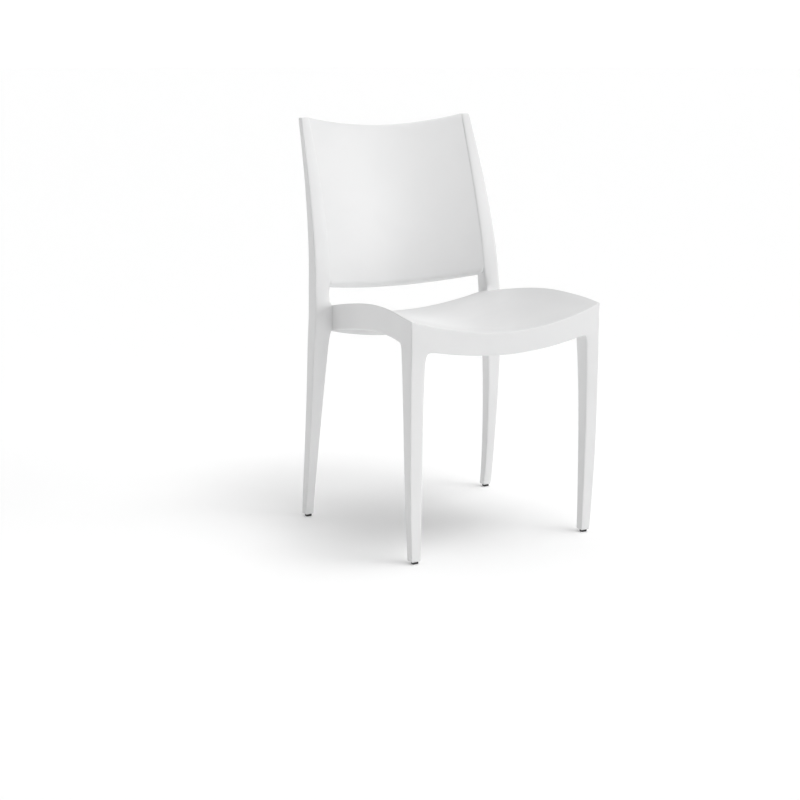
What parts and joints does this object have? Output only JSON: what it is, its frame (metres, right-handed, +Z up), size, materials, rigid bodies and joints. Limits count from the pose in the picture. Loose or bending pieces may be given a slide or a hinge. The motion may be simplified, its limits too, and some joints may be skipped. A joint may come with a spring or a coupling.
{
  "type": "stacking chair",
  "caption": "Armless stacking side chair moulded in one piece, with a hollowed solid back, saddle seat, tapered splayed legs and a push-in glide in each foot.",
  "frame": {"origin": "on the floor, under the middle of the chair's outline seen from above", "axes": "+Z up, -Y is the front of the chair, +X is to the sitter's left"},
  "size_m": [0.4652, 0.49, 0.82],
  "materials": {
    "body_plastic": "satin white glass-filled polypropylene, fine moulded grain",
    "glide_rubber": "dark moulded rubber, matt"
  },
  "bodies": {
    "root": {"chair_body": "body_plastic", "foot_glide_front_left": "glide_rubber", "foot_glide_front_right": "glide_rubber", "foot_glide_rear_left": "glide_rubber", "foot_glide_rear_right": "glide_rubber"}
  },
  "joints": []
}
